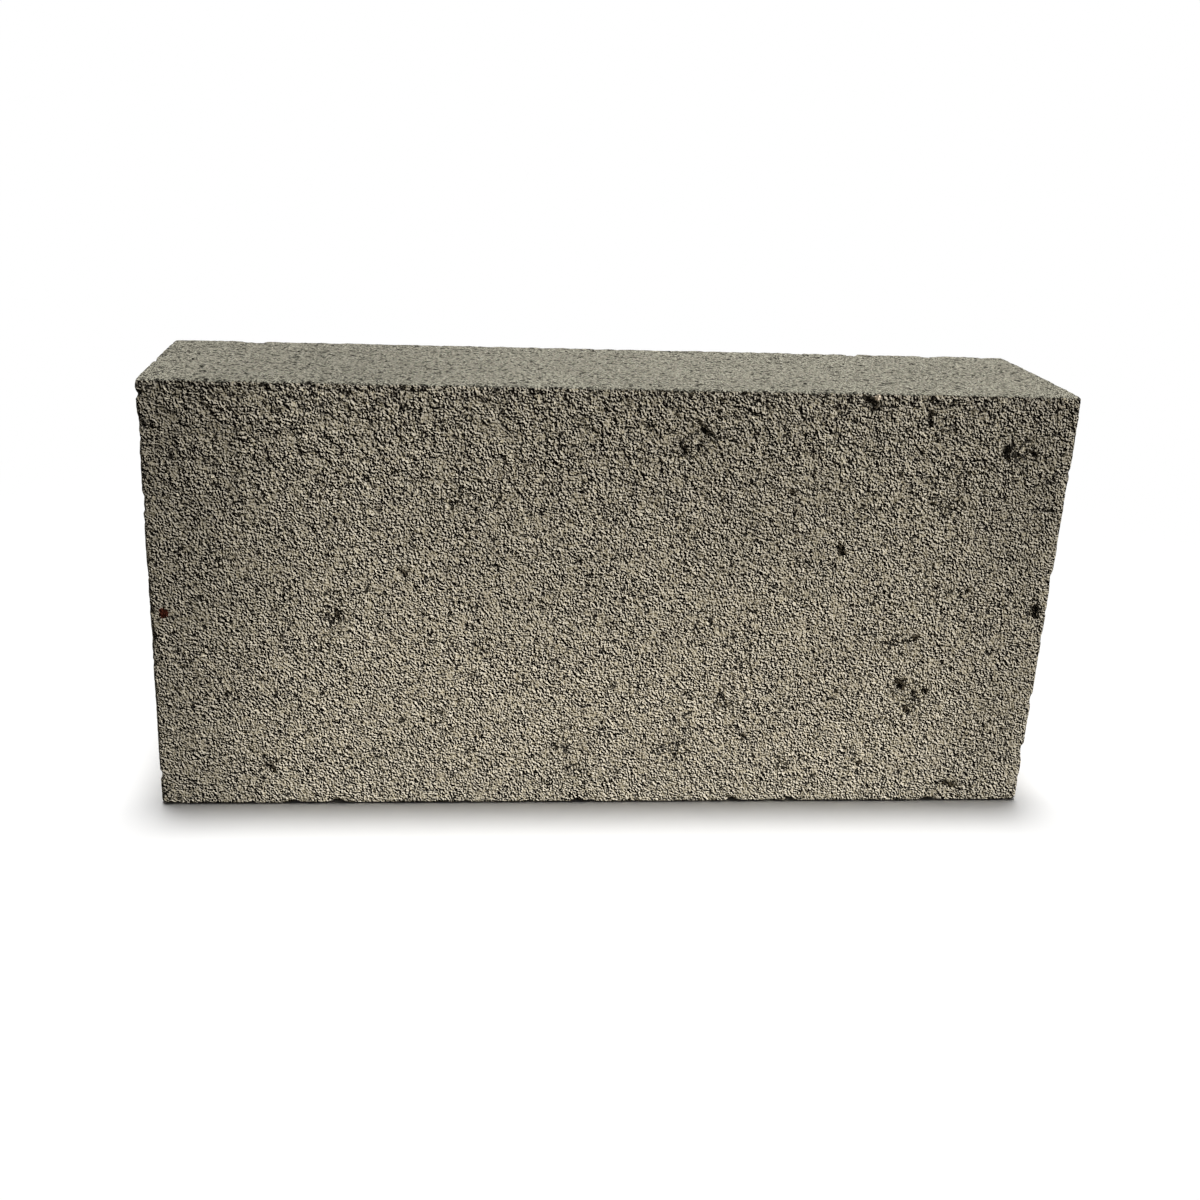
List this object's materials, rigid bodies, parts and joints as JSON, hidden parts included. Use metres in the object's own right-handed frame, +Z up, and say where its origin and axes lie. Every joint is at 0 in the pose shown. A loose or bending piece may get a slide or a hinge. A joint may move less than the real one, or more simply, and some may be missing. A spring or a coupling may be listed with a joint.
{
  "type": "concrete block",
  "caption": "Solid rectangular dense-aggregate concrete walling block with an open granular face texture, tight pressed bed faces and slightly worn arrises.",
  "frame": {"origin": "centre of the lower bed face, on the surface that the block stands on", "axes": "+X along the block's length, +Y through its thickness from the shown face to the back, +Z up from the lower to the upper bed face"},
  "size_m": [0.44, 0.1, 0.215],
  "materials": {
    "concrete": "matte"
  },
  "bodies": {
    "root": {"concrete_block": "concrete"}
  },
  "joints": []
}
